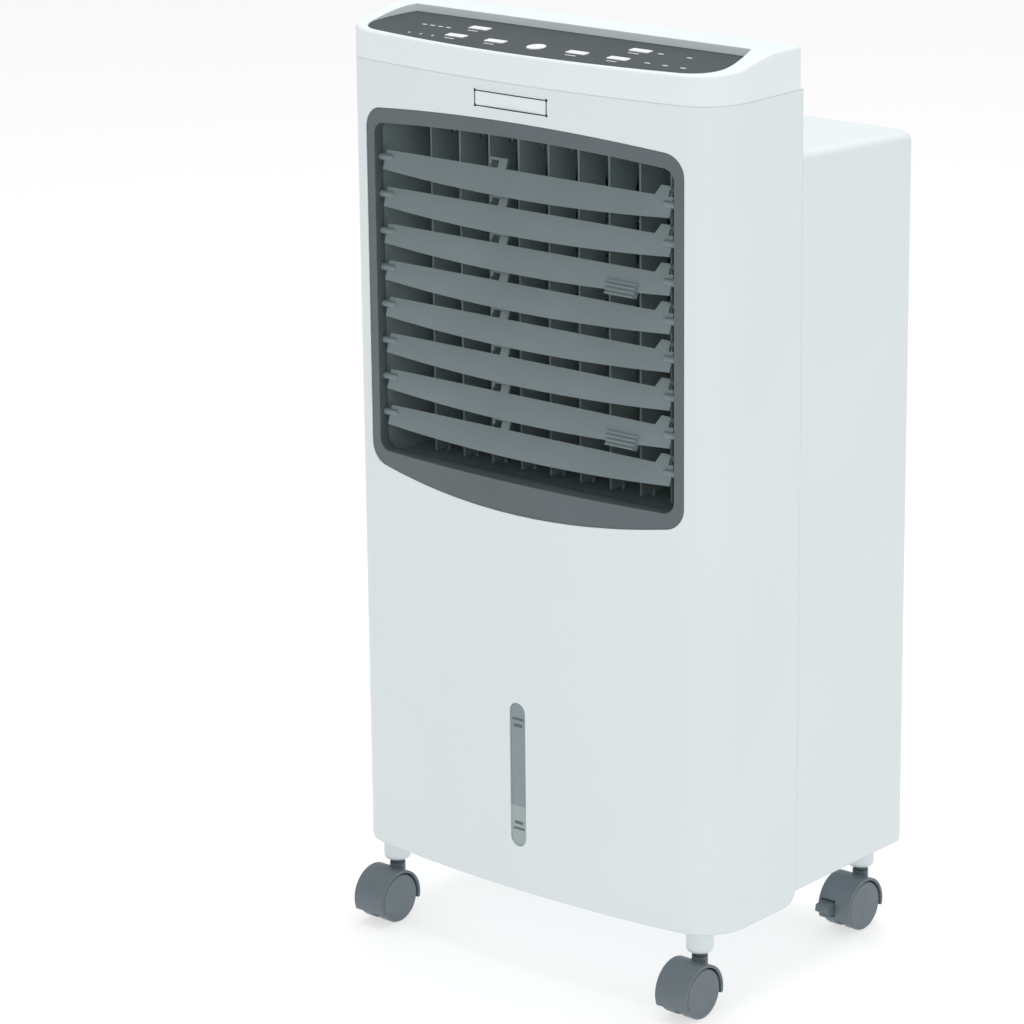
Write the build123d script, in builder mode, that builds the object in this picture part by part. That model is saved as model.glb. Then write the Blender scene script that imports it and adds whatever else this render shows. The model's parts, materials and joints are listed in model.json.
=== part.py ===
"""Tower evaporative cooler: housings, air outlet, key panel, blower, water circuit and casters.

Millimetres, +Z up. The bowed front faces -Y and +X is to the right of a person facing it. The origin
lies on the floor, under the middle of the whole object. Depths named *_depth are counted back from
the foremost point of the bowed front.
"""

import os
from math import cos, radians, sin, sqrt

from build123d import *

os.makedirs("parts", exist_ok=True)

# ---- driving dimensions ------------------------------------------------------------------------
front_y = -123.1  # foremost point of the bowed front
half_width = 172.0
bow = 14.0  # how far the front recedes from its middle to its sides
front_corner = 35.0
joint_depth = 107.7  # where the front housing meets the rear housing
total_depth = 249.0
front_bottom, rear_bottom = 63.9, 72.6
seam_z, top_z = 662.0, 692.3
wall = 2.6
rear_half_width = 171.0
rear_corner = 15.6
rear_top_front, rear_top_back = 617.3, 609.8

bow_radius = (half_width**2 + bow**2) / (2 * bow)
joint_y = front_y + joint_depth
back_y = front_y + total_depth


def recess(x):
    """How far the bowed front lies behind its foremost point at x."""
    return bow_radius - sqrt(bow_radius**2 - x**2)


def save(piece, label):
    """Label a finished sub-part and write its STEP file."""
    piece.part.label = label
    export_step(piece.part, f"parts/{label}.step")


def bowed_outline(half, inset, back, corner):
    """Plan outline with a bowed front, rounded front corners and straight sides and back."""
    side_y = front_y + inset + recess(half)
    with BuildSketch() as outline:
        with BuildLine():
            ThreePointArc((-half, side_y), (0, front_y + inset), (half, side_y))
            Polyline((half, side_y), (half, back), (-half, back), (-half, side_y))
        make_face()
        fillet(outline.vertices().sort_by(Axis.Y)[:2], corner)
    return outline.sketch


def arched_outline(half, top, top_radius, bottom, bottom_radius, corner):
    """Elevation outline (x, z): arched top, arched or straight bottom, rounded corners."""
    top_side = top - half**2 / (2 * top_radius)
    bottom_side = bottom + (half**2 / (2 * bottom_radius) if bottom_radius else 0)
    with BuildSketch() as outline:
        with BuildLine():
            ThreePointArc((-half, top_side), (0, top), (half, top_side))
            Line((half, top_side), (half, bottom_side))
            if bottom_radius:
                ThreePointArc((half, bottom_side), (0, bottom), (-half, bottom_side))
            else:
                Line((half, bottom_side), (-half, bottom_side))
            Line((-half, bottom_side), (-half, top_side))
        make_face()
        fillet(outline.vertices(), corner)
    return outline.sketch


def elevation(depth):
    """Plane facing the viewer at a depth behind the front; extrude by a negative amount to go back."""
    return Plane.XZ.offset(-(front_y + depth))


# ---- air outlet dimensions ---------------------------------------------------------------------
bezel_half, opening_half = 144.9, 136.7
bezel_top, bezel_bottom = 634.8, 350.8
top_arch, bottom_arch = 1348.0, 711.0
opening_top, opening_bottom = 623.8, 373.9
bezel_corner, opening_corner = 16.5, 9.0
bezel_back = 18.0
bezel_sink = 0.6  # bezel face behind the white face

louver_count = 8
louver_pitch = 27.13
louver_top_z = 591.3
louver_depth = 15.5
louver_tilt = 70.0  # rear edge up, from the horizontal
louver_half = 131.0
louver_link_arm = 11.2
peg_radius, journal_radius, journal_end = 2.6, 1.5, 139.8
socket_clearance = 0.05
link_pin_radius = 1.2
link_clearance = 0.08
louver_zs = [louver_top_z - louver_pitch * i for i in range(louver_count)]
grip_louvers = (2, 6)

outer_bezel = arched_outline(bezel_half, bezel_top, top_arch, bezel_bottom, bottom_arch, bezel_corner)
bezel_hole = arched_outline(bezel_half + 0.15, bezel_top + 0.15, top_arch, bezel_bottom - 0.15,
                            bottom_arch, bezel_corner + 0.15)
opening = arched_outline(opening_half, opening_top, top_arch, opening_bottom, 0, opening_corner)

# ---- level window ------------------------------------------------------------------------------
window_low, window_high, window_radius = 98.5, 208.8, 7.25
window_mid = (window_low + window_high) / 2

# ---- front housing -----------------------------------------------------------------------------
shell_outline = bowed_outline(half_width, 0, joint_y, front_corner)
shell_core = bowed_outline(half_width - wall, wall, joint_y + 5, front_corner - wall)
lower_back_round = 14.0
back_panel_low = 606.0

with BuildPart() as front_housing:
    with BuildSketch(Plane.XY.offset(front_bottom)):
        add(shell_outline)
    extrude(amount=seam_z - front_bottom)
    lower_back = front_housing.edges().filter_by(Axis.X).group_by(Axis.Z)[0].sort_by(Axis.Y)[-1]
    fillet(lower_back, lower_back_round)
    with BuildSketch(Plane.XY.offset(front_bottom - 1)):
        add(shell_core)
    extrude(amount=seam_z - front_bottom + 2, mode=Mode.SUBTRACT)
    with BuildSketch(Plane.XY.offset(back_panel_low)):
        with Locations((0, joint_y - wall / 2)):
            Rectangle(2 * half_width - 2 * wall, wall)
    extrude(amount=seam_z - back_panel_low)
    with BuildSketch(elevation(-5)):
        add(bezel_hole)
        with Locations((0, window_mid)):
            SlotOverall(window_high - window_low, 2 * window_radius, rotation=90)
    extrude(amount=-45, mode=Mode.SUBTRACT)
save(front_housing, "front_housing")

# ---- rear housing ------------------------------------------------------------------------------
tank_half, tank_low, tank_high = 150.0, 81.0, 216.0
tank_hole_half, tank_hole_low, tank_hole_high = 151.0, 79.6, 217.5
grille_half, grille_low, grille_high = 138.0, 262.0, 592.0
grille_gap = 0.6
hinge_depth, hinge_z, hinge_pin_radius, hinge_reach = 246.8, 264.0, 1.0, 3.8
pad_front, pad_back, pad_low, pad_high, pad_half = 218.0, 238.0, 261.4, 584.0, 131.0
gland_x, gland_z, gland_radius = 146.0, 240.0, 7.0
latch_z, latch_pin_radius = 229.0, 2.5
rear_screws = [(x, z) for x in (-157, 157) for z in (250, 585)]
screw_radius, screw_head_radius, screw_head_height = 1.7, 3.6, 2.2
boss_radius, boss_length = 5.5, 9.0
top_slope = (rear_top_front - rear_top_back) / (total_depth - joint_depth)


def rear_block(half, low, drop, front, back, corner):
    """Rounded block whose top falls towards the back."""
    with BuildPart() as block:
        with BuildSketch(Plane.XY.offset(low)) as plan:
            with Locations((0, (front + back) / 2)):
                Rectangle(2 * half, back - front)
            fillet(plan.vertices().sort_by(Axis.Y)[-2:], corner)
        extrude(amount=rear_top_front + 5 - low)
        with BuildSketch(Plane.YZ):
            ends = [(y, rear_top_front - drop - top_slope * (y - joint_y)) for y in (front - 5, back + 5)]
            Polygon(*ends, (back + 5, rear_top_front + 20), (front - 5, rear_top_front + 20), align=None)
        extrude(amount=half + 5, both=True, mode=Mode.SUBTRACT)
    return block.part


rear_outside = rear_block(rear_half_width, rear_bottom, 0, joint_y, back_y, rear_corner)
rear_inside = rear_block(rear_half_width - wall, rear_bottom - 1, wall, joint_y - 1, back_y - wall,
                         rear_corner - wall)

with BuildPart() as rear_housing:
    add(rear_outside)
    top_rim = [e for e in rear_housing.faces().sort_by(Axis.Z)[-1].edges() if e.center().Y > joint_y + 1]
    fillet(top_rim, 7)
    add(rear_inside, mode=Mode.SUBTRACT)
    with BuildSketch(Plane.XZ.offset(-(back_y - boss_length))):
        with Locations(*rear_screws):
            Circle(boss_radius)
    extrude(amount=-boss_length)
    with BuildSketch(Plane.XY.offset(pad_low - 4)):
        with Locations((0, (front_y + pad_front - 2 + back_y - wall + 0.5) / 2)):
            Rectangle(120, back_y - wall + 0.5 - front_y - pad_front + 2)
    extrude(amount=4)
    for side in (-1, 1):
        with BuildSketch(Plane.YZ.offset(side * (grille_half + grille_gap))):
            with Locations((front_y + hinge_depth - 2, hinge_z)):
                Rectangle(6, 8)
        extrude(amount=side * 6)
    with BuildSketch(Plane.XZ.offset(-(back_y - boss_length - 1))):
        with Locations((0, (tank_hole_low + tank_hole_high) / 2)):
            Rectangle(2 * tank_hole_half, tank_hole_high - tank_hole_low)
        with Locations((0, (grille_low + grille_high) / 2)):
            Rectangle(2 * (grille_half + grille_gap), grille_high - grille_low + 2 * grille_gap)
        with Locations((gland_x, gland_z)):
            Circle(gland_radius + 0.2)
        with Locations((0, latch_z)):
            Circle(latch_pin_radius + 0.05)
        with Locations(*rear_screws):
            Circle(screw_radius + 0.2)
    extrude(amount=-(boss_length + 2), mode=Mode.SUBTRACT)
    with BuildSketch(Plane.XZ.offset(-(back_y - screw_head_height - 0.3))):
        with Locations(*rear_screws):
            Circle(screw_head_radius + 0.3)
    extrude(amount=-5, mode=Mode.SUBTRACT)
    with BuildSketch(Plane.YZ):
        with Locations((front_y + hinge_depth, hinge_z)):
            Circle(hinge_pin_radius + 0.05)
    extrude(amount=grille_half + hinge_reach + 0.4, both=True, mode=Mode.SUBTRACT)
save(rear_housing, "rear_housing")

# ---- top cover and key panel -------------------------------------------------------------------
rim_front_z, rim_back_z = 682.6, 686.9
panel_front_z, panel_back_z = 681.8, 686.6
panel_depths = (3.0, 75.0)
panel_slope = (panel_back_z - panel_front_z) / (panel_depths[1] - panel_depths[0])
panel_tilt = radians(3.81)
panel_half_back, panel_half_mid, panel_half_front = 151.8, 159.0, 155.0
panel_mid_depth, panel_front_side_depth, panel_corner = 46.0, 17.5, 26.0
overlay_thickness, overlay_gap = 1.6, 0.2
key_travel = 0.8
key_row, key_row_back = 28.5, 53.5
key_places = [(-73.5, key_row), (-37, key_row), (0, key_row), (37, key_row), (73.5, key_row),
              (-73, key_row_back), (73, key_row_back)]
round_key = 2
key_width, key_depth, round_key_radius = 17.0, 7.0, 7.0
key_gap = 0.35
board_drop = 11.5  # face of the board below the panel's face
board_half, board_width, board_depth = 115.0, 58.0, 38.0


def panel_z(depth):
    """Height of the grey panel's face at a depth behind the front."""
    return panel_front_z + panel_slope * (depth - panel_depths[0])


panel_plane = Plane(origin=(0, front_y + panel_depths[0], panel_front_z), x_dir=(1, 0, 0),
                    z_dir=(0, -sin(panel_tilt), cos(panel_tilt)))


def panel_outline(grow):
    """Outline of the grey panel in its own plane: bowed front, rounded corners, straight back."""
    zero = panel_depths[0]
    front_side = (panel_half_front + grow, panel_front_side_depth - zero - grow)
    mid_side = (panel_half_mid + grow, panel_mid_depth - zero)
    back_side = (panel_half_back + grow, panel_depths[1] - zero + grow)
    with BuildSketch() as outline:
        with BuildLine():
            ThreePointArc((-front_side[0], front_side[1]), (0, -grow), front_side)
            ThreePointArc(front_side, mid_side, back_side)
            Line(back_side, (-back_side[0], back_side[1]))
            ThreePointArc((-back_side[0], back_side[1]), (-mid_side[0], mid_side[1]),
                          (-front_side[0], front_side[1]))
        make_face()
        fillet(outline.vertices().sort_by(Axis.Y)[:2], panel_corner)
        fillet(outline.vertices().sort_by(Axis.Y)[-2:], 2)
    return outline.sketch


def key_outline(index, grow):
    """Outline of one key in the panel's plane."""
    x, depth = key_places[index]
    with BuildSketch() as outline:
        with Locations((x, depth - panel_depths[0])):
            if index == round_key:
                Circle(round_key_radius + grow)
            else:
                RectangleRounded(key_width + 2 * grow, key_depth + 2 * grow, 0.9 + grow)
    return outline.sketch


overlay_outline = panel_outline(0)
pocket_outline = panel_outline(overlay_gap)
all_keys = [key_outline(i, key_gap) for i in range(len(key_places))]
cap_core = bowed_outline(half_width - wall, wall, joint_y - wall, front_corner - wall)

with BuildPart() as top_cover:
    with BuildSketch(Plane.XY.offset(seam_z)):
        add(shell_outline)
    extrude(amount=top_z - seam_z)
    fillet(top_cover.edges().filter_by(Axis.Z).sort_by(Axis.Y)[-2:], 5)
    with BuildSketch(Plane.YZ):
        with BuildLine():
            ramp = Spline((front_y - 5, rim_front_z - 0.3), (front_y + 38, rim_front_z + 2.6),
                          (front_y + 80, top_z), tangents=[(1, 0.06), (1, 0.02)])
            Polyline(ramp @ 1, (front_y + 80, top_z + 9), (front_y - 5, top_z + 9), ramp @ 0)
        make_face()
    extrude(amount=half_width + 5, both=True, mode=Mode.SUBTRACT)
    rim = [e for e in top_cover.edges() if e.center().Z > rim_front_z - 1.5 and
           (abs(e.center().X) > half_width - 20 or e.center().Y < front_y + 8
            or e.center().Y > joint_y - 6)]
    fillet(rim, 2.6)
    with BuildSketch(Plane.XY.offset(seam_z - 1)):
        add(cap_core)
    extrude(amount=rim_front_z - 4.4 - seam_z + 1, mode=Mode.SUBTRACT)
    with BuildSketch(panel_plane.offset(-overlay_thickness)):
        add(pocket_outline)
    extrude(amount=20, mode=Mode.SUBTRACT)
    with BuildSketch(panel_plane.offset(-15)):
        for outline in all_keys:
            add(outline)
    extrude(amount=20, mode=Mode.SUBTRACT)
    with BuildSketch(panel_plane.offset(-board_drop)):
        with Locations((0, board_depth)):
            with GridLocations(2 * board_half - 16, board_width - 12, 2, 2):
                Circle(3)
    extrude(amount=8)
save(top_cover, "top_cover")

with BuildPart() as control_overlay:
    with BuildSketch(panel_plane.offset(-overlay_thickness)):
        add(overlay_outline)
        for outline in all_keys:
            add(outline, mode=Mode.SUBTRACT)
    extrude(amount=overlay_thickness)
save(control_overlay, "control_overlay")

key_proud, key_foot, key_stem = 0.5, 9.5, 3.0
for index in range(len(key_places)):
    cap_outline = key_outline(index, 0)
    x, depth = key_places[index]
    with BuildPart() as key:
        with BuildSketch(panel_plane.offset(key_proud)):
            add(cap_outline)
        extrude(amount=-4.0)
        with BuildSketch(panel_plane.offset(-3.5)):
            with Locations((x, depth - panel_depths[0])):
                Circle(key_stem)
        extrude(amount=-(key_foot - 3.5))
    save(key, f"key_{index + 1}")

with BuildPart() as control_board:
    with BuildSketch(panel_plane.offset(-board_drop)):
        with Locations((0, board_depth)):
            Rectangle(2 * board_half, board_width)
    extrude(amount=-1.6)
    with BuildSketch(panel_plane.offset(-board_drop)):
        for x, depth in key_places:
            with Locations((x, depth - panel_depths[0])):
                Rectangle(6, 6)
    extrude(amount=board_drop - key_foot - key_travel - 0.2)
save(control_board, "control_board")

# ---- outlet bezel ------------------------------------------------------------------------------
with BuildPart() as bow_cutter:
    with BuildSketch():
        with BuildLine():
            edge = front_y + bezel_sink
            ThreePointArc((-170, edge + recess(170)), (0, edge), (170, edge + recess(170)))
            Polyline((170, edge + recess(170)), (170, front_y - 30), (-170, front_y - 30),
                     (-170, edge + recess(170)))
        make_face()
    extrude(amount=top_z)

with BuildPart() as grille_bezel:
    with BuildSketch(elevation(-2)):
        add(outer_bezel)
        add(opening, mode=Mode.SUBTRACT)
    extrude(amount=-(bezel_back + 2))
    add(bow_cutter.part, mode=Mode.SUBTRACT)
    for side in (-1, 1):
        with BuildSketch(Plane.YZ.offset(side * (opening_half - 0.5))):
            with Locations(*[(front_y + louver_depth, z) for z in louver_zs]):
                Circle(journal_radius + socket_clearance)
        extrude(amount=side * (journal_end + 0.4 - opening_half + 0.5), mode=Mode.SUBTRACT)
save(grille_bezel, "grille_bezel")

# ---- horizontal louvers ------------------------------------------------------------------------
tilt = radians(louver_tilt)
chord_back, chord_end, chord_mid = 5.4, 9.0, 14.2  # rear edge, front edge at the ends and the middle
louver_thickness = 2.0
ear_inner, ear_shoulder, ear_outer, ear_top = 114.5, 118.5, 126.5, 12.6
hook_left, hook_mid, hook_right, hook_top = -35.0, -26.5, -19.0, 12.2
peg_inner = 125.5
grip_left, grip_right, grip_top, grip_bottom = 74.5, 103.5, 5.5, 15.6


def louver_plane(z):
    """Plane of one blade: local x along the pivot, local y towards the raised rear edge."""
    return Plane(origin=(0, front_y + louver_depth, z), x_dir=(1, 0, 0), z_dir=(0, -sin(tilt), cos(tilt)))


with BuildSketch() as blade_outline:
    with BuildLine():
        ThreePointArc((-louver_half, -chord_end), (0, -chord_mid), (louver_half, -chord_end))
        Polyline((louver_half, -chord_end), (louver_half, chord_back), (ear_outer, chord_back),
                 (ear_outer, ear_top), (ear_shoulder, ear_top), (ear_inner, chord_back),
                 (-louver_half, chord_back), (-louver_half, -chord_end))
    make_face()
    with Locations(((hook_mid + hook_right) / 2, (chord_back + hook_top) / 2)):
        Rectangle(hook_right - hook_mid, hook_top - chord_back + 1)
    with Locations(((hook_left + hook_mid) / 2, hook_top - 0.5)):
        Rectangle(hook_mid - hook_left + 1, 2)
    with Locations((hook_left + 0.9, hook_top - 2.2)):
        Rectangle(1.8, 4.6)

for index, z in enumerate(louver_zs):
    plane = louver_plane(z)
    with BuildPart() as louver:
        with BuildSketch(plane):
            add(blade_outline.sketch)
        extrude(amount=louver_thickness / 2, both=True)
        for side in (-1, 1):
            with BuildSketch(Plane.YZ.offset(side * peg_inner)):
                with Locations((front_y + louver_depth, z)):
                    Circle(peg_radius)
            extrude(amount=side * (opening_half - 0.5 - peg_inner))
            with BuildSketch(Plane.YZ.offset(side * peg_inner)):
                with Locations((front_y + louver_depth, z)):
                    Circle(journal_radius)
            extrude(amount=side * (journal_end - peg_inner))
            with Locations((side * peg_inner, front_y + louver_depth, z)):
                Sphere(peg_radius)
        pin_y = front_y + louver_depth + louver_link_arm * cos(tilt)
        pin_z = z + louver_link_arm * sin(tilt)
        with BuildSketch(Plane.YZ.offset(ear_outer - 2)):
            with Locations((pin_y, pin_z)):
                Circle(link_pin_radius)
        extrude(amount=132.2 - ear_outer + 2)
        if index in grip_louvers:
            with BuildSketch(plane.offset(-2.4)):
                with BuildLine():
                    Polyline((grip_left, -grip_top), (grip_right, -grip_top), (grip_right - 2, -grip_bottom),
                             (grip_left + 2, -grip_bottom), close=True)
                make_face()
            extrude(amount=5.2)
            with BuildSketch(plane.offset(1.6)):
                for row in range(3):
                    with Locations(((grip_left + grip_right) / 2, -grip_top - 2.1 - row * 3.0)):
                        Rectangle(grip_right - grip_left + 2, 1.5)
            extrude(amount=3, mode=Mode.SUBTRACT)
    save(louver, f"louver_{index + 1}")

link_left, link_thickness, link_back, eye_radius = 128.2, 2.6, 6.0, 2.7
for name, rows in (("louver_link_upper", louver_zs[:4]), ("louver_link_lower", louver_zs[4:])):
    eyes = [(pin_y, z + louver_link_arm * sin(tilt)) for z in rows]
    with BuildPart() as louver_link:
        with BuildSketch(Plane.YZ.offset(link_left)):
            with Locations(*eyes):
                Circle(eye_radius)
            for y, z in eyes:
                with Locations((y + link_back / 2 + 0.5, z)):
                    Rectangle(link_back + 1, 3.2)
            with Locations((pin_y + link_back + 1.2, (eyes[0][1] + eyes[-1][1]) / 2)):
                Rectangle(2.4, eyes[0][1] - eyes[-1][1] + 7)
            with Locations(*eyes):
                Circle(link_pin_radius + link_clearance, mode=Mode.SUBTRACT)
        extrude(amount=link_thickness)
    save(louver_link, name)

# ---- vertical vanes ----------------------------------------------------------------------------
duct_half, duct_low, duct_high, duct_wall = 138.0, 368.0, 628.0, 2.0
duct_front, duct_back = 18.0, 78.0
vane_count, vane_pitch = 9, 27.5
vane_depth, vane_chord, vane_thickness = 55.0, 14.4, 1.6
vane_low, vane_high = 370.5, 625.5
vane_arm, vane_pin_radius = 11.5, 1.2
notch_low, notch_high = 604.0, 620.0
strip_low, strip_high = 611.0, 613.6
crank_x = 124.0
crank_low = 616.0
vane_xs = [vane_pitch * (i - (vane_count - 1) / 2) for i in range(vane_count)]
vane_y = front_y + vane_depth

with BuildPart() as vane_frame:
    with BuildSketch(elevation(duct_front)):
        with Locations((0, (duct_low + duct_high) / 2)):
            Rectangle(2 * (duct_half + duct_wall), duct_high - duct_low + 2 * duct_wall)
            Rectangle(2 * duct_half, duct_high - duct_low, mode=Mode.SUBTRACT)
    extrude(amount=-(duct_back - duct_front))
    with BuildSketch(Plane.XY.offset(duct_low - duct_wall - 1)):
        with Locations(*[(x, vane_y) for x in vane_xs]):
            Circle(1.56)
    extrude(amount=duct_high - duct_low + 2 * duct_wall + 2, mode=Mode.SUBTRACT)
    with BuildSketch(Plane.XY.offset(duct_high - 1)):
        with Locations((crank_x, vane_y)):
            Circle(3.4)
    extrude(amount=duct_wall + 2, mode=Mode.SUBTRACT)
save(vane_frame, "vane_frame")

for index, x in enumerate(vane_xs):
    with BuildPart() as vane:
        with BuildSketch(Plane.YZ.offset(x - vane_thickness / 2)):
            with Locations((vane_y, (vane_low + vane_high) / 2)):
                Rectangle(2 * vane_chord, vane_high - vane_low)
            with Locations((vane_y + (7 + vane_chord) / 2 + 0.5, (notch_low + notch_high) / 2)):
                Rectangle(vane_chord - 7 + 1, notch_high - notch_low, mode=Mode.SUBTRACT)
        extrude(amount=vane_thickness)
        with BuildSketch(Plane.XY.offset(notch_low - 2)):
            with Locations((x, vane_y + vane_arm)):
                Circle(vane_pin_radius)
        extrude(amount=notch_high - notch_low + 4)
        for low in (duct_low - duct_wall + 0.2, vane_high - 3):
            with BuildSketch(Plane.XY.offset(low)):
                with Locations((x, vane_y)):
                    Circle(1.5)
            extrude(amount=duct_high + duct_wall - 0.2 - vane_high + 3)
    save(vane, f"vane_{index + 1}")

with BuildPart() as vane_link:
    with BuildSketch(Plane.XY.offset(strip_low)):
        with Locations(((vane_xs[0] - 4 + crank_x + 4) / 2, vane_y + vane_arm)):
            Rectangle(crank_x - vane_xs[0] + 8, 5)
        with Locations(*[(x, vane_y + vane_arm) for x in vane_xs + [crank_x]]):
            Circle(vane_pin_radius + link_clearance, mode=Mode.SUBTRACT)
    extrude(amount=strip_high - strip_low)
save(vane_link, "vane_link")

motor_low = duct_high + duct_wall
with BuildPart() as swing_crank:
    with BuildSketch(Plane.XY.offset(crank_low)):
        with Locations((crank_x, vane_y)):
            Circle(4.5)
        with Locations((crank_x, vane_y + vane_arm / 2)):
            Rectangle(5, vane_arm)
        with Locations((crank_x, vane_y + vane_arm)):
            Circle(2.5)
    extrude(amount=3)
    with BuildSketch(Plane.XY.offset(crank_low - 7)):
        with Locations((crank_x, vane_y + vane_arm)):
            Circle(vane_pin_radius)
    extrude(amount=8)
    with BuildSketch(Plane.XY.offset(crank_low + 2)):
        with Locations((crank_x, vane_y)):
            Circle(2.5)
    extrude(amount=motor_low + 6 - crank_low - 2)
save(swing_crank, "swing_crank")

with BuildPart() as swing_motor:
    with BuildSketch(Plane.XY.offset(motor_low)):
        with Locations((crank_x, vane_y)):
            Circle(14)
            Rectangle(40, 10)
            Circle(2.56, mode=Mode.SUBTRACT)
    extrude(amount=19)
save(swing_motor, "swing_motor")

# ---- level window ------------------------------------------------------------------------------
with BuildPart() as level_window:
    with BuildSketch(elevation(0.9)):
        with Locations((0, window_mid)):
            SlotOverall(window_high - window_low - 0.4, 2 * window_radius - 0.4, rotation=90)
    extrude(amount=-2.4)
    with BuildSketch(elevation(wall + 0.3)):
        with Locations((0, window_mid)):
            SlotOverall(window_high - window_low + 8, 2 * window_radius + 8, rotation=90)
    extrude(amount=-1.6)
save(level_window, "level_window")

# ---- base pan with its caster posts ------------------------------------------------------------
front_floor, rear_floor, floor_thickness = front_bottom + 2.2, rear_bottom + 2.4, 2.6
pan_gap = 0.3
post_radius, post_end, post_bore = 10.0, 45.6, 4.0
rail_x, rail_clearance = 110.0, 0.3  # rails the water tank slides on
caster_places = {"fl": (-145.5, 28.4), "fr": (145.5, 28.4), "rl": (-137.0, 236.2), "rr": (137.0, 236.2)}
front_floor_outline = bowed_outline(half_width - wall - pan_gap, wall + pan_gap,
                                    joint_y - lower_back_round, front_corner - wall - pan_gap)

with BuildPart() as base_pan:
    with BuildSketch(Plane.XY.offset(front_floor)):
        add(front_floor_outline)
    extrude(amount=floor_thickness)
    with BuildSketch(Plane.XY.offset(rear_floor)) as rear_plan:
        rear_end = back_y - wall - pan_gap
        with Locations((0, (joint_y - lower_back_round - 3 + rear_end) / 2)):
            Rectangle(2 * (rear_half_width - wall - pan_gap), rear_end - joint_y + lower_back_round + 3)
        fillet(rear_plan.vertices().sort_by(Axis.Y)[-2:], rear_corner - wall)
    extrude(amount=floor_thickness)
    with BuildSketch(Plane.XY.offset(front_floor)):
        with Locations((0, joint_y - lower_back_round - 1.5)):
            Rectangle(2 * (half_width - wall - pan_gap) - 4, 3)
    extrude(amount=rear_floor + floor_thickness - front_floor)
    for place, (x, depth) in caster_places.items():
        floor = front_floor if place[0] == "f" else rear_floor
        with BuildSketch(Plane.XY.offset(post_end)):
            with Locations((x, front_y + depth)):
                Circle(post_radius)
        extrude(amount=floor + 1 - post_end)
    with BuildSketch(Plane.XY.offset(front_floor + 1)):
        with Locations((0, front_y + 133)):
            with GridLocations(2 * rail_x, 0, 2, 1):
                Rectangle(4, 222)
    extrude(amount=tank_low - rail_clearance - front_floor - 1)
    post_rims = base_pan.faces().filter_by(Axis.Z).group_by(Axis.Z)[0].edges()
    fillet(post_rims, 3)
    with BuildSketch(Plane.XY.offset(post_end - 1)):
        with Locations(*[(x, front_y + depth) for x, depth in caster_places.values()]):
            Circle(post_bore)
    extrude(amount=18, mode=Mode.SUBTRACT)
save(base_pan, "base_pan")

# ---- casters -----------------------------------------------------------------------------------
wheel_radius, wheel_inner, wheel_outer = 18.8, 2.6, 13.3
hood_outer, hood_inner, hood_half, hood_web = 21.9, 19.8, 13.9, 1.6
caster_trail = 12.3
hood_back_angle, hood_front_angle = -12.0, 203.0
stem_low, collar_low, collar_high, collar_radius = 38.0, 42.6, 45.5, 5.2
stem_radius = 3.9
axle_radius = 2.5

with BuildPart() as caster_stems:
    for x, depth in caster_places.values():
        with BuildSketch(Plane.XY.offset(stem_low)):
            with Locations((x, front_y + depth)):
                Circle(stem_radius)
        extrude(amount=post_end + 14 - stem_low)
        with BuildSketch(Plane.XY.offset(collar_low)):
            with Locations((x, front_y + depth)):
                Circle(collar_radius)
        extrude(amount=collar_high - collar_low)
save(caster_stems, "caster_stems")


def arc_point(radius, angle, y, z):
    """Point on a circle round the axle, in the (y, z) plane."""
    return (y + radius * cos(radians(angle)), z + radius * sin(radians(angle)))


brake_half, brake_offset, brake_pin_radius, brake_pin_reach = 6.0, -5.5, 0.6, 1.2
brake_angle, brake_pivot_angle = 178.0, 190.0

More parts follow.
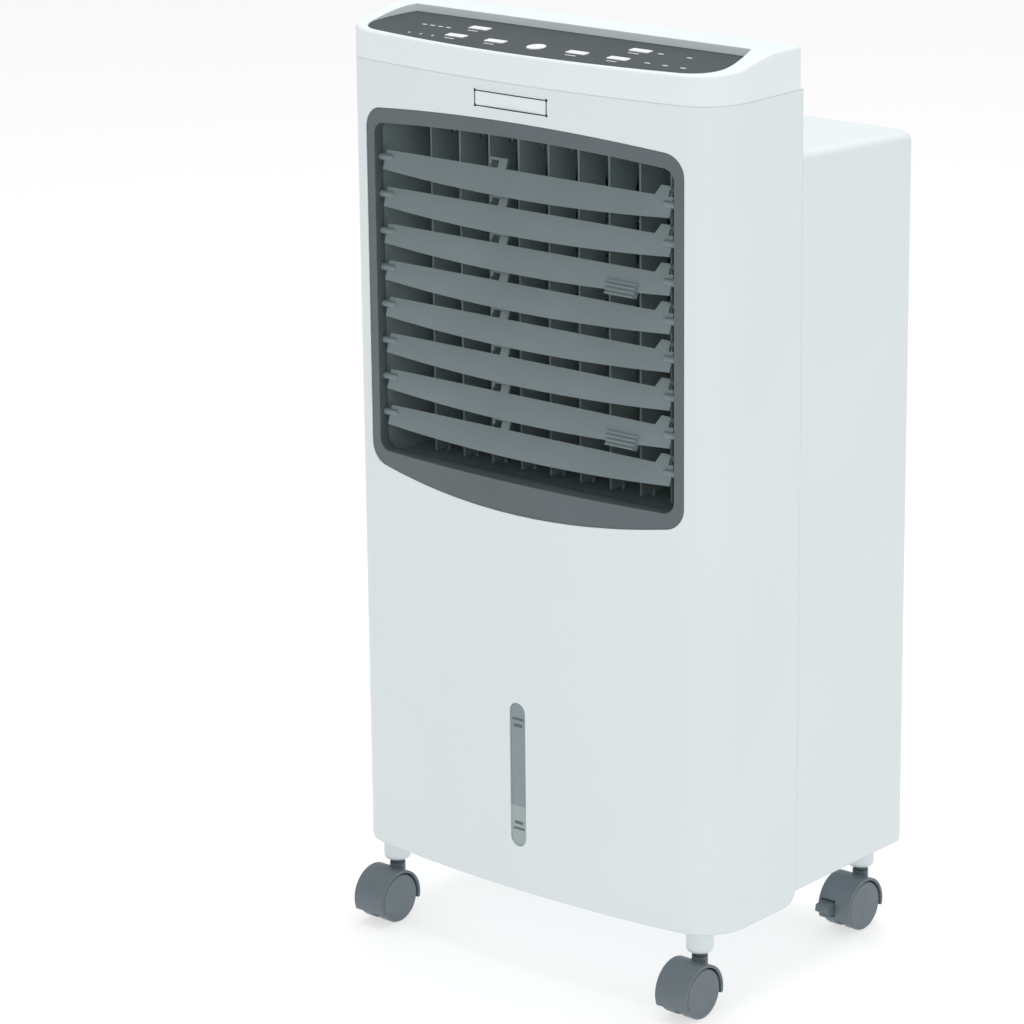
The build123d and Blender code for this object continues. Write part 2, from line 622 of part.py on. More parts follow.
for place, (x, depth) in caster_places.items():
    stem_y = front_y + depth
    axle_y = stem_y - caster_trail
    middle = (hood_back_angle + hood_front_angle) / 2
    ends = [arc_point(hood_outer, angle, axle_y, wheel_radius)
            for angle in (hood_back_angle, middle, hood_front_angle)]
    with BuildPart() as caster_hood:
        with BuildSketch(Plane.YZ.offset(x - hood_half)):
            with BuildLine():
                ThreePointArc(*ends)
                Line(ends[-1], ends[0])
            make_face()
        extrude(amount=2 * hood_half)
        with BuildSketch(Plane.XY.offset(stem_low - 6)):
            with Locations((x, stem_y)):
                Circle(5.9)
        extrude(amount=collar_low - 0.4 - stem_low + 6)
        for side in (-1, 1):
            with BuildSketch(Plane.YZ.offset(x + side * hood_web)):
                with Locations((axle_y, wheel_radius)):
                    Circle(hood_inner)
            extrude(amount=side * (hood_half + 3), mode=Mode.SUBTRACT)
        with BuildSketch(Plane.YZ.offset(x - 3)):
            with Locations((axle_y, wheel_radius)):
                Circle(axle_radius + 0.05)
        extrude(amount=6, mode=Mode.SUBTRACT)
        with BuildSketch(Plane.XY.offset(stem_low - 0.4)):
            with Locations((x, stem_y)):
                Circle(stem_radius + 0.06)
        extrude(amount=12, mode=Mode.SUBTRACT)
        if place[0] == "r":
            y, z = arc_point(hood_outer, brake_angle, axle_y, wheel_radius)
            pivot = arc_point((hood_outer + hood_inner) / 2, brake_pivot_angle, axle_y, wheel_radius)
            with BuildSketch(Plane.YZ.offset(x + brake_offset - brake_half - 0.4)):
                with Locations((y + 0.5, z)):
                    Rectangle(8, 13)
            extrude(amount=2 * brake_half + 0.8, mode=Mode.SUBTRACT)
            with BuildSketch(Plane.YZ.offset(x + brake_offset - brake_half - brake_pin_reach - 0.3)):
                with Locations(pivot):
                    Circle(brake_pin_radius + 0.05)
            extrude(amount=2 * (brake_half + brake_pin_reach + 0.3), mode=Mode.SUBTRACT)
    save(caster_hood, f"caster_hood_{place}")

    with BuildPart() as caster_wheels:
        for side in (-1, 1):
            with BuildSketch(Plane.YZ.offset(x + side * wheel_inner)):
                with Locations((axle_y, wheel_radius)):
                    Circle(wheel_radius)
            extrude(amount=side * (wheel_outer - wheel_inner))
        fillet(caster_wheels.edges().filter_by(GeomType.CIRCLE), 1.6)
        with BuildSketch(Plane.YZ.offset(x - wheel_inner - 1)):
            with Locations((axle_y, wheel_radius)):
                Circle(axle_radius)
        extrude(amount=2 * wheel_inner + 2)
    save(caster_wheels, f"caster_wheels_{place}")

    if place[0] == "r":
        with BuildPart() as caster_brake:
            with BuildSketch(Plane.YZ.offset(x + brake_offset - brake_half)):
                with BuildLine():
                    Polyline((y + 1.9, z + 5), (y - 6.5, z + 3.4), (y - 7.5, z - 1.5), (y - 1.0, z - 5.2),
                             (y + 1.9, z - 5.2), close=True)
                make_face()
            extrude(amount=2 * brake_half)
            with BuildSketch(Plane.YZ.offset(x + brake_offset - brake_half - brake_pin_reach)):
                with Locations(pivot):
                    Circle(brake_pin_radius)
            extrude(amount=2 * (brake_half + brake_pin_reach))
        save(caster_brake, f"caster_brake_{place}")

# ---- rear intake grille ------------------------------------------------------------------------
slat_rows, slat_columns, slat_pitch, slat_gap, column_width = 30, 4, 10.4, 5.0, 62.0
with BuildPart() as rear_grille:
    with BuildSketch(Plane.XZ.offset(-(back_y - 4.2))) as grille_plan:
        with Locations((0, (grille_low + grille_high) / 2)):
            Rectangle(2 * grille_half, grille_high - grille_low)
        with Locations((0, (grille_low + grille_high) / 2)):
            with GridLocations(column_width + 4.5, slat_pitch, slat_columns, slat_rows):
                Rectangle(column_width, slat_gap, mode=Mode.SUBTRACT)
    extrude(amount=-4.0)
    with BuildSketch(Plane.YZ):
        with Locations((front_y + hinge_depth - 1, hinge_z - 1.5)):
            Rectangle(8, 3.01)
    extrude(amount=grille_half + 1, both=True, mode=Mode.SUBTRACT)
    with BuildSketch(Plane.YZ):
        with Locations((front_y + hinge_depth, hinge_z)):
            Circle(2)
    extrude(amount=grille_half, both=True)
    with BuildSketch(Plane.YZ):
        with Locations((front_y + hinge_depth, hinge_z)):
            Circle(hinge_pin_radius)
    extrude(amount=grille_half + hinge_reach, both=True)
    with BuildSketch(Plane.XZ.offset(-(back_y - 6.2))):
        with Locations((0, (grille_low + grille_high) / 2)):
            Rectangle(2 * grille_half - 4, grille_high - grille_low - 6)
            Rectangle(2 * grille_half - 12, grille_high - grille_low - 14, mode=Mode.SUBTRACT)
            with GridLocations(16.5, 300, 16, 1):
                Rectangle(0.8, grille_high - grille_low - 10)
    extrude(amount=-2.2)
save(rear_grille, "rear_grille")

# ---- cooling pad and water distributor ---------------------------------------------------------
with BuildPart() as cooling_pad:
    with BuildSketch(elevation(pad_front)):
        with Locations((0, (pad_low + pad_high) / 2)):
            Rectangle(2 * pad_half, pad_high - pad_low)
            with HexLocations(10.2, 14, 15):
                RegularPolygon(8.4, 6, major_radius=False, mode=Mode.SUBTRACT)
    extrude(amount=-(pad_back - pad_front))
save(cooling_pad, "cooling_pad")

riser_x, riser_depth, riser_low, riser_high, hose_radius = -138.0, 228.0, 222.0, 594.0, 5.5
with BuildPart() as supply_hose:
    with BuildLine():
        FilletPolyline((riser_x, front_y + riser_depth, riser_low),
                       (riser_x, front_y + riser_depth, riser_high),
                       (128, front_y + riser_depth, riser_high), radius=14)
    with BuildSketch(Plane.XY.offset(riser_low)):
        with Locations((riser_x, front_y + riser_depth)):
            Circle(hose_radius)
            Circle(hose_radius - 1.5, mode=Mode.SUBTRACT)
    sweep()
save(supply_hose, "supply_hose")

# ---- blower ------------------------------------------------------------------------------------
fan_depth, fan_z = 145.0, 498.0
fan_y = front_y + fan_depth
scroll_radius, scroll_half, scroll_wall, inlet_radius = 70.0, 118.0, 2.0, 46.0


def scroll_outline(shrink):
    """Side outline of the blower casing: round about the fan, flared to the outlet duct."""
    reach = scroll_radius - shrink
    mouth_low, mouth_high = duct_low - duct_wall + shrink, duct_high + duct_wall - shrink
    with BuildSketch() as outline:
        with Locations((fan_y, fan_z)):
            Circle(reach)
        with BuildLine():
            Polyline((front_y + duct_back + 0.2 - 2 * shrink, mouth_low), (fan_y, fan_z - reach),
                     (fan_y, fan_z + reach), (front_y + duct_back + 0.2 - 2 * shrink, mouth_high), close=True)
        make_face()
    return outline.sketch


casing_outline, casing_core = scroll_outline(0), scroll_outline(scroll_wall)
with BuildPart() as blower_casing:
    with BuildSketch(Plane.YZ):
        add(casing_outline)
    extrude(amount=scroll_half, both=True)
    with BuildSketch(Plane.YZ):
        add(casing_core)
    extrude(amount=scroll_half - scroll_wall, both=True, mode=Mode.SUBTRACT)
    with BuildSketch(Plane.YZ):
        with Locations((fan_y, fan_z)):
            Circle(inlet_radius)
    extrude(amount=scroll_half + 2, both=True, mode=Mode.SUBTRACT)
save(blower_casing, "blower_casing")

wheel_half, fan_radius, blade_root, fan_blades = 92.0, 60.0, 50.0, 30
shaft_radius = 4.0
with BuildPart() as fan_wheel:
    for x in (-wheel_half, -1.5, wheel_half - 3):
        with BuildSketch(Plane.YZ.offset(x)):
            with Locations((fan_y, fan_z)):
                Circle(fan_radius)
                if x != -1.5:
                    Circle(blade_root, mode=Mode.SUBTRACT)
        extrude(amount=3)
    with BuildSketch(Plane.YZ.offset(-wheel_half)):
        with Locations((fan_y, fan_z)):
            with PolarLocations((blade_root + fan_radius) / 2, fan_blades):
                Rectangle(fan_radius - blade_root - 0.6, 1.2, rotation=35)
    extrude(amount=2 * wheel_half)
    with BuildSketch(Plane.YZ.offset(-9)):
        with Locations((fan_y, fan_z)):
            Circle(8)
    extrude(amount=18)
    with BuildSketch(Plane.YZ.offset(-10)):
        with Locations((fan_y, fan_z)):
            Circle(shaft_radius + 0.05)
    extrude(amount=20, mode=Mode.SUBTRACT)
save(fan_wheel, "fan_wheel")

motor_radius, motor_inner = 36.0, -40.0
with BuildPart() as fan_motor:
    with BuildSketch(Plane.YZ.offset(motor_inner)):
        with Locations((fan_y, fan_z)):
            Circle(motor_radius)
    extrude(amount=-(scroll_half + 12 + motor_inner))
    fillet(fan_motor.edges().filter_by(GeomType.CIRCLE), 5)
    with BuildSketch(Plane.YZ.offset(-scroll_half - 0.2)):
        with Locations((fan_y, fan_z)):
            with PolarLocations(48, 3):
                Rectangle(36, 9)
    extrude(amount=-3)
    with BuildSketch(Plane.YZ.offset(motor_inner - 2)):
        with Locations((fan_y, fan_z)):
            Circle(shaft_radius)
    extrude(amount=14 - motor_inner)
save(fan_motor, "fan_motor")

# ---- water tank, pump and latch ----------------------------------------------------------------
tank_front, tank_back, tank_wall = 17.0, 248.6, 2.5
grip_half, grip_low, grip_high, grip_deep = 48.0, 168.0, 194.0, 16.0
tank_mid_y = front_y + (tank_front + tank_back) / 2
with BuildPart() as water_tank:
    with BuildSketch(Plane.XY.offset(tank_low)) as tank_plan:
        with Locations((0, tank_mid_y)):
            Rectangle(2 * tank_half, tank_back - tank_front)
    extrude(amount=tank_high - tank_low)
    with BuildSketch(Plane.XY.offset(tank_low + tank_wall)):
        with Locations((0, tank_mid_y)):
            Rectangle(2 * (tank_half - tank_wall), tank_back - tank_front - 2 * tank_wall)
    extrude(amount=tank_high - tank_low, mode=Mode.SUBTRACT)
    with BuildSketch(Plane.XZ.offset(-(front_y + tank_back))):
        with Locations((0, (grip_low + grip_high) / 2)):
            Rectangle(2 * grip_half + 5, grip_high - grip_low + 5)
    extrude(amount=grip_deep + 2.5)
    with BuildSketch(Plane.XZ.offset(-(front_y + tank_back))):
        with Locations((0, (grip_low + grip_high) / 2)):
            Rectangle(2 * grip_half, grip_high - grip_low)
    extrude(amount=grip_deep, mode=Mode.SUBTRACT)
save(water_tank, "water_tank")

pump_floor = tank_low + tank_wall
with BuildPart() as water_pump:
    with BuildSketch(Plane.XY.offset(pump_floor)):
        with Locations((riser_x + 22, front_y + riser_depth - 16)):
            RectangleRounded(58, 46, 6)
    extrude(amount=44)
    with BuildSketch(Plane.XY.offset(pump_floor + 40)):
        with Locations((riser_x, front_y + riser_depth)):
            Circle(5.5)
            Circle(3.5, mode=Mode.SUBTRACT)
    extrude(amount=tank_high - 3 - pump_floor - 40)
save(water_pump, "water_pump")

latch_length, latch_width, latch_thickness = 30.0, 11.0, 2.6
with BuildPart() as tank_latch:
    with BuildSketch(Plane.XZ.offset(-(back_y + 0.4))):
        with Locations((0, latch_z)):
            SlotOverall(latch_length, latch_width)
    extrude(amount=-latch_thickness)
    with BuildSketch(Plane.XZ.offset(-(back_y - wall - 3))):
        with Locations((0, latch_z)):
            Circle(latch_pin_radius)
    extrude(amount=-(wall + 4))
save(tank_latch, "tank_latch")

with BuildPart() as cord_gland:
    with BuildSketch(Plane.XZ.offset(-(back_y - wall - 5))):
        with Locations((gland_x, gland_z)):
            Circle(gland_radius)
            Circle(3.6, mode=Mode.SUBTRACT)
    extrude(amount=-(wall + 5 + 2.4))
    with BuildSketch(Plane.XZ.offset(-(back_y + 0.1))):
        with Locations((gland_x, gland_z)):
            Circle(gland_radius + 2)
            Circle(3.6, mode=Mode.SUBTRACT)
    extrude(amount=-2.3)
save(cord_gland, "cord_gland")

with BuildPart() as housing_screws:
    with BuildSketch(Plane.XZ.offset(-(back_y - 14))):
        with Locations(*rear_screws):
            Circle(screw_radius)
    extrude(amount=-(14 - screw_head_height))
    with BuildSketch(Plane.XZ.offset(-(back_y - screw_head_height - 0.3))):
        with Locations(*rear_screws):
            Circle(screw_head_radius)
    extrude(amount=-screw_head_height)
    with BuildSketch(Plane.XZ.offset(-(back_y - 1.4))):
        with Locations(*rear_screws):
            Rectangle(4, 0.9)
            Rectangle(0.9, 4)
    extrude(amount=-2, mode=Mode.SUBTRACT)
save(housing_screws, "housing_screws")
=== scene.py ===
"""Studio view of the tower evaporative cooler: camera, lights, finishes and small fittings."""

import json
from math import cos, radians, sin, sqrt

import bpy
from mathutils import Matrix, Vector


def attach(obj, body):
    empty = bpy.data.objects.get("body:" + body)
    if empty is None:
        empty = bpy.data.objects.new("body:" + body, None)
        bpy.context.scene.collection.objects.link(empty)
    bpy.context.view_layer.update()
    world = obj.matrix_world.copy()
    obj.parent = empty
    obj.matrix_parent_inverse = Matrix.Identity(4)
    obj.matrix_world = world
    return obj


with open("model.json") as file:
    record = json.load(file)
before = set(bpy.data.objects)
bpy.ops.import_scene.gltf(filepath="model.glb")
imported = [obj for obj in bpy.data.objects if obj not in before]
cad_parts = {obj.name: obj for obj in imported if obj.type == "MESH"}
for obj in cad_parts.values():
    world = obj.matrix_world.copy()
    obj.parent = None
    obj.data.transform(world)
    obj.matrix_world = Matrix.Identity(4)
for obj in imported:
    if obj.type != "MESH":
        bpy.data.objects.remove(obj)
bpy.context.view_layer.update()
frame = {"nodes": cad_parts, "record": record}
nodes = frame["nodes"]

# ---- shared geometry, metres --------------------------------------------------------------------
FRONT_Y = -0.1231
HALF_WIDTH, BOW_DEPTH = 0.172, 0.014
BOW_RADIUS = (HALF_WIDTH**2 + BOW_DEPTH**2) / (2 * BOW_DEPTH)
PANEL_TILT = radians(3.81)
PANEL_EDGE, PANEL_EDGE_HEIGHT = 0.003, 0.6818
PANEL_ORIGIN = Vector((0, FRONT_Y + PANEL_EDGE, PANEL_EDGE_HEIGHT))
PANEL_UP = Vector((0, -sin(PANEL_TILT), cos(PANEL_TILT)))
PANEL_BACK = Vector((0, cos(PANEL_TILT), sin(PANEL_TILT)))


def recess(x):
    """How far the bowed front lies behind its foremost point."""
    return BOW_RADIUS - sqrt(BOW_RADIUS**2 - x * x)


# ---- camera -------------------------------------------------------------------------------------
CAMERA_DISTANCE, LENS_MM, SENSOR_MM = 2.96925, 146.53125, 36
AIM_SHIFT, AIM_HEIGHT = -0.00206, 0.35305
azimuth, elevation, roll = radians(40.59), radians(16.72), radians(-0.66)
back = Vector((sin(azimuth) * cos(elevation), -cos(azimuth) * cos(elevation), sin(elevation)))
right = Vector((cos(azimuth), sin(azimuth), 0))
up = back.cross(right)
right, up = right * cos(roll) + up * sin(roll), up * cos(roll) - right * sin(roll)
target = Vector((cos(azimuth) * AIM_SHIFT, FRONT_Y + sin(azimuth) * AIM_SHIFT, AIM_HEIGHT))
camera = bpy.data.objects.new("camera", bpy.data.cameras.new("camera"))
camera.data.sensor_width = SENSOR_MM
camera.data.lens = LENS_MM
camera.data.clip_end = 50
camera.matrix_world = Matrix.Translation(target + back * CAMERA_DISTANCE) @ Matrix(
    [[right[i], up[i], back[i], 0] for i in range(3)] + [[0, 0, 0, 1]])
bpy.context.scene.collection.objects.link(camera)
bpy.context.scene.camera = camera
bpy.context.scene.view_settings.view_transform = "Standard"


# ---- materials ----------------------------------------------------------------------------------
def noise(tree, coords, scale, detail):
    """Noise factor socket in object space."""
    texture = tree.nodes.new("ShaderNodeTexNoise")
    texture.inputs["Scale"].default_value = scale
    texture.inputs["Detail"].default_value = detail
    tree.links.new(coords, texture.inputs["Vector"])
    return texture.outputs["Fac"]


def mapped(tree, value, from_min=0.0, from_max=1.0, to_min=0.0, to_max=1.0):
    """Socket that maps a value from one clamped range to another."""
    node = tree.nodes.new("ShaderNodeMapRange")
    for socket, number in (("From Min", from_min), ("From Max", from_max), ("To Min", to_min),
                           ("To Max", to_max)):
        node.inputs[socket].default_value = number
    tree.links.new(value, node.inputs["Value"])
    return node.outputs[0]


def blended(tree, factor, tint, other):
    """Colour socket that goes from tint to another colour as the factor rises."""
    mix = tree.nodes.new("ShaderNodeMix")
    mix.data_type = "RGBA"
    tree.links.new(factor, mix.inputs["Factor"])
    tree.links.new(tint, mix.inputs["A"])
    mix.inputs["B"].default_value = list(other) + [1]
    return mix.outputs["Result"]


def distance_from(tree, value, place):
    """Socket with the distance of a value from a fixed place."""
    away = tree.nodes.new("ShaderNodeMath")
    away.operation = "SUBTRACT"
    tree.links.new(value, away.inputs[0])
    away.inputs[1].default_value = place
    size = tree.nodes.new("ShaderNodeMath")
    size.operation = "ABSOLUTE"
    tree.links.new(away.outputs[0], size.inputs[0])
    return size.outputs[0]


# The last three values set the painted highlight on convex edges: how much lighter they get, and the
# pointiness range it fades in over.
SEAM_DARKNESS, EDGE_HIGHLIGHT_LIGHTNESS, EDGE_HIGHLIGHT_FROM, EDGE_HIGHLIGHT_TO = 0.3, 1.6, 0.52, 0.62
GRAIN_HEIGHT, LEAST_ROUGH, COAT_ROUGH = 0.0002, 0.02, 0.12


def finish_material(name, color, rough=0.4, spread=0.03, cloud=9.0, grain=900.0, relief=0.06, bevel=0.0,
                    metallic=0.0, lines=(), coat=0.0, specular=0.5, glow=0.0, edge_highlight=0.0, levels=()):
    """Moulded or machined finish.

    spread and cloud set the slow colour drift, grain and relief the fine surface, bevel the rounded edges.
    lines holds (axis, place, width, depth) seams; levels holds (low, high, colour) bands by height.
    """
    material = bpy.data.materials.new(name)
    material.use_nodes = True
    tree = material.node_tree
    join = tree.links.new
    shader = tree.nodes["Principled BSDF"]
    coords = tree.nodes.new("ShaderNodeTexCoord").outputs["Object"]
    ramp = tree.nodes.new("ShaderNodeValToRGB")
    dark, light = ramp.color_ramp.elements
    dark.position, light.position = 0.3, 0.7
    dark.color = [c * (1 - spread) for c in color] + [1]
    light.color = [min(1, c * (1 + spread)) for c in color] + [1]
    join(noise(tree, coords, cloud, 3), ramp.inputs["Fac"])
    tint = ramp.outputs["Color"]
    split = tree.nodes.new("ShaderNodeSeparateXYZ")
    join(coords, split.inputs[0])
    for axis, place, width, depth in lines:
        near = mapped(tree, distance_from(tree, split.outputs[axis], place), width * 0.4, width, depth, 0)
        tint = blended(tree, near, tint, [c * SEAM_DARKNESS for c in color])
    for low, high, other in levels:
        tint = blended(tree, mapped(tree, split.outputs["Z"], low, high), tint, other)
    # painted highlight: convex edges, found by pointiness, are lightened
    if edge_highlight:
        edges = tree.nodes.new("ShaderNodeNewGeometry").outputs["Pointiness"]
        painted_edge_highlight = mapped(tree, edges, EDGE_HIGHLIGHT_FROM, EDGE_HIGHLIGHT_TO, 0, edge_highlight)
        tint = blended(tree, painted_edge_highlight, tint, [min(1, c * EDGE_HIGHLIGHT_LIGHTNESS) for c in color])
    join(tint, shader.inputs["Base Color"])
    fine = noise(tree, coords, grain, 2)
    gloss = mapped(tree, fine, to_min=max(LEAST_ROUGH, rough - 0.06), to_max=rough + 0.08)
    join(gloss, shader.inputs["Roughness"])
    bump = tree.nodes.new("ShaderNodeBump")
    bump.inputs["Strength"].default_value = relief
    bump.inputs["Distance"].default_value = GRAIN_HEIGHT
    join(fine, bump.inputs["Height"])
    if bevel:
        soft = tree.nodes.new("ShaderNodeBevel")
        soft.samples = 4
        soft.inputs["Radius"].default_value = bevel
        join(soft.outputs[0], bump.inputs["Normal"])
    join(bump.outputs[0], shader.inputs["Normal"])
    shader.inputs["Metallic"].default_value = metallic
    shader.inputs["Specular IOR Level"].default_value = specular
    if coat:
        shader.inputs["Coat Weight"].default_value = coat
        shader.inputs["Coat Roughness"].default_value = COAT_ROUGH
    if glow:
        shader.inputs["Emission Color"].default_value = (1, 1, 1, 1)
        shader.inputs["Emission Strength"].default_value = glow
    return material


SEAM = (2, 0.662, 0.0007, 0.10)
white = finish_material("white_shell", (0.735, 0.795, 0.812), 0.36, 0.012, 6, 700, 0.05, 0.0008,
                        lines=(SEAM,))
white_back = finish_material("white_back", (0.735, 0.795, 0.812), 0.38, 0.012, 6, 700, 0.05, 0.0006)
# Lighter copy of the shell white for the top cover: painted light standing in for the top light falling on
# it.
cover_white_painted_light = finish_material("cover_white_painted_light", (0.79, 0.85, 0.866), 0.36, 0.012, 6, 700, 0.05, 0.0008,
                              lines=(SEAM,))
link_grey = finish_material("link_grey", (0.060, 0.080, 0.082), 0.5, 0.05, 40, 1300, 0.10, 0.0004,
                            specular=0.3)
key_white = finish_material("key_white", (0.84, 0.87, 0.88), 0.3, 0.01, 40, 900, 0.03, 0.0005)
panel_grey = finish_material("panel_grey", (0.060, 0.074, 0.077), 0.5, 0.05, 22, 1500, 0.10, 0.0004,
                             specular=0.15)
bezel_grey = finish_material("bezel_grey", (0.098, 0.124, 0.134), 0.36, 0.05, 18, 1300, 0.10, 0.0009)
louver_grey = finish_material("louver_grey", (0.172, 0.220, 0.232), 0.34, 0.05, 20, 1300, 0.10, 0.0006)
dark_inner = finish_material("dark_inner", (0.235, 0.300, 0.300), 0.5, 0.10, 25, 900, 0.12, 0.0004)
window_face = finish_material("window_face", (0.325, 0.400, 0.412), 0.2, 0.03, 60, 1200, 0.02, 0.0006,
                              coat=0.15,
                              levels=((0.1288, 0.1298, (0.225, 0.280, 0.298)),))
# the caster hoods get a painted highlight along their convex edges
caster_grey = finish_material("caster_grey", (0.118, 0.150, 0.168), 0.34, 0.06, 70, 1500, 0.12, 0.0006,
                              edge_highlight=0.1)
wheel_grey = finish_material("wheel_grey", (0.128, 0.162, 0.182), 0.36, 0.06, 90, 1200, 0.12, 0.0008)
steel = finish_material("steel", (0.55, 0.56, 0.57), 0.28, 0.08, 120, 2200, 0.10, 0.0002, metallic=1.0)
dark_steel = finish_material("dark_steel", (0.10, 0.12, 0.13), 0.36, 0.08, 120, 2200, 0.10, 0.0002,
                             metallic=0.4)
board_green = finish_material("board_green", (0.03, 0.2, 0.09), 0.35, 0.15, 200, 1800, 0.1)
motor_paint = finish_material("motor_paint", (0.27, 0.28, 0.29), 0.45, 0.08, 60, 1400, 0.15, 0.0005)
fan_plastic = finish_material("fan_plastic", (0.26, 0.32, 0.32), 0.45, 0.06, 30, 1300, 0.1)
paper = finish_material("pad_paper", (0.42, 0.29, 0.16), 0.85, 0.22, 80, 1600, 0.5)
tank_plastic = finish_material("tank_plastic", (0.62, 0.67, 0.69), 0.38, 0.03, 12, 900, 0.06, 0.0006)
hose_plastic = finish_material("hose_plastic", (0.66, 0.70, 0.70), 0.35, 0.05, 60, 1200, 0.08)
badge_white = finish_material("badge_white", (0.78, 0.84, 0.855), 0.3, 0.01, 60, 1600, 0.03)
dark_ink = finish_material("dark_ink", (0.020, 0.026, 0.028), 0.5, 0.10, 300, 2600, 0.05)
level_ink = finish_material("level_ink", (0.11, 0.15, 0.155), 0.5, 0.08, 300, 2600, 0.05)
mark_ink = finish_material("mark_ink", (0.62, 0.66, 0.68), 0.5, 0.06, 400, 2600, 0.05)

FINISHES = {"white_body": white, "white_key": key_white, "panel_grey": panel_grey, "bezel_grey": bezel_grey,
            "louver_grey": louver_grey, "dark_inner": dark_inner, "window_clear": window_face,
            "caster_grey": caster_grey, "wheel_grey": wheel_grey, "stem_steel": dark_steel,
            "board_green": board_green, "motor_metal": motor_paint, "fan_grey": fan_plastic,
            "pad_paper": paper, "tank_grey": tank_plastic, "hose_clear": hose_plastic, "screw_steel": steel}
# top_cover gets the lighter painted-light copy of the shell white
NODE_FINISHES = {"rear_housing": white_back, "base_pan": white_back, "rear_grille": white_back,
                 "top_cover": cover_white_painted_light, "louver_link_upper": link_grey, "louver_link_lower": link_grey}
slots = {part["node"]: part["material_slot"] for part in frame["record"]["subparts"]}
for name, node in nodes.items():
    material = NODE_FINISHES.get(name, FINISHES[slots[name]])
    if not node.material_slots:
        node.data.materials.append(material)
    for place in node.material_slots:
        place.material = material


# ---- small fittings -----------------------------------------------------------------------------
def mesh_piece(name, verts, faces, material, body):
    """A closed mesh piece that moves with a body."""
    mesh = bpy.data.meshes.new(name)
    mesh.from_pydata([tuple(v) for v in verts], [], faces)
    mesh.update()
    piece = bpy.data.objects.new(name, mesh)
    bpy.context.scene.collection.objects.link(piece)
    mesh.materials.append(material)
    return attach(piece, body)


def rounded(half_u, half_v, corner, steps=5):
    """Corner points of a rounded rectangle about (0, 0)."""
    points = []
    for cu, cv, start in ((1, 1, 0), (-1, 1, 90), (-1, -1, 180), (1, -1, 270)):
        for step in range(steps + 1):
            angle = radians(start + 90 * step / steps)
            points.append((cu * (half_u - corner) + corner * cos(angle),
                           cv * (half_v - corner) + corner * sin(angle)))
    return points


def ring_sides(count, rings):
    """Faces that join each ring of count points to the next one."""
    faces = []
    for level in range(rings - 1):
        low, high = level * count, (level + 1) * count
        for i in range(count):
            j = (i + 1) % count
            faces.append((low + i, low + j, high + j, high + i))
    return faces


def pad_mesh(outline, place, thickness, ease):
    """Low pad with an eased edge: outline (u, v) points; place(u, v, height, shrink) gives a point."""
    count = len(outline)
    rings = [[place(u, v, h, s) for u, v in outline] for h, s in
             ((0, 0), (thickness - ease, 0), (thickness - ease * 0.3, ease * 0.3), (thickness, ease))]
    verts = [p for ring in rings for p in ring]
    faces = [tuple(reversed(range(count)))] + ring_sides(count, len(rings))
    faces.append(tuple(range(len(verts) - count, len(verts))))
    return verts, faces


def on_panel(x, depth, sink=0.0003):
    """Placer for marks on the sloped key panel around (x, depth behind the front)."""
    centre = PANEL_ORIGIN + Vector((x, 0, 0)) + PANEL_BACK * (depth - PANEL_EDGE) - PANEL_UP * sink

    def place(u, v, height, shrink):
        scale = 1 - shrink / max(abs(u), abs(v), 0.0006)
        return centre + Vector((u * scale, 0, 0)) + PANEL_BACK * (v * scale) + PANEL_UP * height
    return place


MARK_HEIGHT, MARK_EASE = 0.00042, 0.00008


def panel_mark(name, x, depth, half_u, half_v, corner):
    """Raised printed mark on the key panel."""
    outline = rounded(half_u, half_v, corner, 3)
    verts, faces = pad_mesh(outline, on_panel(x, depth), MARK_HEIGHT, MARK_EASE)
    return mesh_piece(name, verts, faces, mark_ink, "housing")


SPEED_LEFT, SPEED_PITCH, SPEED_DEPTH = -0.118, 0.0075, 0.045
LAMP_LEFT, LAMP_PITCH, LAMP_DEPTH, LAMP_RADIUS = -0.1115, 0.011, 0.021, 0.0011
TIMER_MARKS = ((0.091, 0.053), (0.116, 0.053), (0.099, 0.028), (0.1145, 0.028), (0.130, 0.028))
CAPTIONS = [(x, 0.0205) for x in (-0.0735, -0.037, 0.037, 0.0735)] + [(x, 0.0455) for x in (-0.073, 0.073)]

for index in range(4):
    panel_mark(f"speed_mark_{index + 1}", SPEED_LEFT + index * SPEED_PITCH, SPEED_DEPTH, 0.0022, 0.0009,
               0.0006)
for index in range(3):
    panel_mark(f"mode_lamp_{index + 1}", LAMP_LEFT + index * LAMP_PITCH, LAMP_DEPTH, LAMP_RADIUS,
               LAMP_RADIUS,
               0.00105)
for index, (x, depth) in enumerate(TIMER_MARKS):
    panel_mark(f"timer_mark_{index + 1}", x, depth, 0.0024, 0.0009, 0.0006)
for index, (x, depth) in enumerate(CAPTIONS):
    panel_mark(f"key_caption_{index + 1}", x, depth, 0.0046, 0.0007, 0.0004)

PLATE_STEP = 0.003


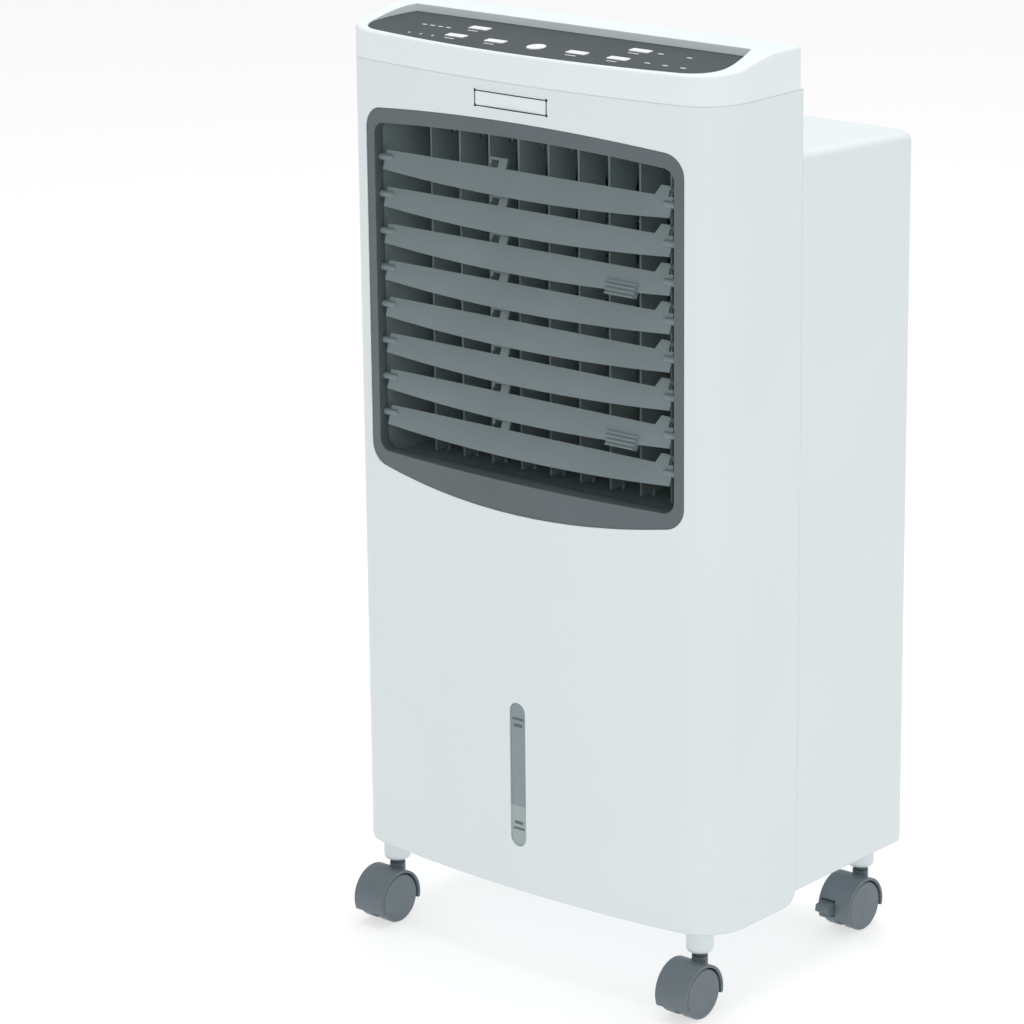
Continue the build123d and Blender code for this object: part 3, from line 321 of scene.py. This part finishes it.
def front_plate(name, half, low, high, corner, stand, material, body, centre_x=0.0, sink=0.0004):
    """Thin plate wrapped on the bowed front: it starts sink inside the front and stands out by stand."""
    half_height, middle = (high - low) / 2, (high + low) / 2
    outline = rounded(half, half_height, corner, 6)
    dense = []
    for i, (u, v) in enumerate(outline):
        nu, nv = outline[(i + 1) % len(outline)]
        parts = max(1, int(abs(nu - u) / PLATE_STEP))
        dense += [(u + (nu - u) * k / parts, v + (nv - v) * k / parts) for k in range(parts)]

    def place(u, v, height, shrink):
        x = centre_x + u * (1 - shrink / half)
        return Vector((x, FRONT_Y + recess(x) + sink - height, middle + v * (1 - shrink / half_height)))

    count = len(dense)
    rings = [[place(u, v, h, s) for u, v in dense] for h, s in
             ((0, 0), (sink + stand * 0.5, 0), (sink + stand * 0.85, 0.00025), (sink + stand, 0.0007))]
    verts = [p for ring in rings for p in ring]
    faces = ring_sides(count, len(rings))
    faces.append(tuple(reversed(range(count))))
    faces.append(tuple(range(len(verts) - count, len(verts))))
    return mesh_piece(name, verts, faces, material, body)


# blank badge on the front, under the top cover's seam: a white plate with a thin dark frame
BADGE_HALF, BADGE_LOW, BADGE_HIGH = 0.0344, 0.6423, 0.6552
LINE_HALF, LINE_INSET, LINE_END, LINE_STAND = 0.0003, 0.0011, 0.001, 0.00072
FRAME_HALF_LENGTH, FRAME_HALF_WIDTH = 0.0322, 0.0325
CORNER_HALF, CORNER_INSET, CORNER_STAND = 0.0011, 0.0012, 0.00074

front_plate("badge_plate", BADGE_HALF, BADGE_LOW, BADGE_HIGH, 0.0016, 0.0005, badge_white, "housing")
for name, z in (("top", BADGE_HIGH - LINE_INSET), ("bottom", BADGE_LOW + LINE_INSET)):
    front_plate(f"badge_line_{name}", FRAME_HALF_LENGTH, z - LINE_HALF, z + LINE_HALF, 0.00025, LINE_STAND,
                dark_ink, "housing")
for name, x in (("left", -FRAME_HALF_WIDTH), ("right", FRAME_HALF_WIDTH)):
    front_plate(f"badge_line_{name}", LINE_HALF, BADGE_LOW + LINE_END, BADGE_HIGH - LINE_END, 0.00025,
                LINE_STAND,
                dark_ink, "housing", centre_x=x)
    for row, z in (("top", BADGE_HIGH - CORNER_INSET), ("bottom", BADGE_LOW + CORNER_INSET)):
        front_plate(f"badge_corner_{name}_{row}", CORNER_HALF, z - CORNER_HALF, z + CORNER_HALF, 0.0003,
                    CORNER_STAND, dark_ink, "housing", centre_x=x)

# marks inside the water level window, set back from the front
LEVEL_LINES, LEVEL_LINE_HALF = (0.1963, 0.1118), 0.0005
LEVEL_CAPTIONS, LEVEL_CAPTION_HALF = (0.1913, 0.1164), 0.0009
WINDOW_SINK = 0.0012

for index, z in enumerate(LEVEL_LINES):
    front_plate(f"level_line_{index + 1}", 0.0050, z - LEVEL_LINE_HALF, z + LEVEL_LINE_HALF, 0.0003,
                -0.0006,
                level_ink, "housing", sink=WINDOW_SINK)
for index, z in enumerate(LEVEL_CAPTIONS):
    front_plate(f"level_caption_{index + 1}", 0.0036, z - LEVEL_CAPTION_HALF, z + LEVEL_CAPTION_HALF,
                0.0004,
                -0.0007, level_ink, "housing", sink=WINDOW_SINK)

# ---- floor and light ----------------------------------------------------------------------------
FLOOR_REACH, FLOOR_DROP, FLOOR_GLOW, WORLD_LIGHT = 30, 0.0002, 0.6, 0.63

floor_mesh = bpy.data.meshes.new("floor")
floor_corners = [(x * FLOOR_REACH, y * FLOOR_REACH, 0) for x, y in ((-1, -1), (1, -1), (1, 1), (-1, 1))]
floor_mesh.from_pydata(floor_corners, [], [(0, 1, 2, 3)])
floor = bpy.data.objects.new("floor", floor_mesh)
floor.location.z = -FLOOR_DROP
bpy.context.scene.collection.objects.link(floor)
floor_white = finish_material("floor_white", (0.45, 0.45, 0.45), 0.7, 0.004, 2, 300, 0.01, glow=FLOOR_GLOW)
floor_mesh.materials.append(floor_white)

world = bpy.data.worlds.new("studio")
world.use_nodes = True
world.node_tree.nodes["Background"].inputs["Color"].default_value = (1, 1, 1, 1)
world.node_tree.nodes["Background"].inputs["Strength"].default_value = WORLD_LIGHT
bpy.context.scene.world = world


def soft_light(name, position, aim, size, power):
    """Square area light aimed at a point."""
    light = bpy.data.lights.new(name, "AREA")
    light.shape, light.size, light.energy = "SQUARE", size, power
    lamp = bpy.data.objects.new(name, light)
    lamp.location = position
    lamp.rotation_euler = (Vector(aim) - Vector(position)).to_track_quat("-Z", "Y").to_euler()
    bpy.context.scene.collection.objects.link(lamp)


LIGHT_AIM = (0, 0, 0.4)
soft_light("fill_light", (1.9, -2.5, 1.5), LIGHT_AIM, 1.2, 14)
soft_light("top_light", (0.0, 0.5, 3.2), LIGHT_AIM, 2.4, 52)
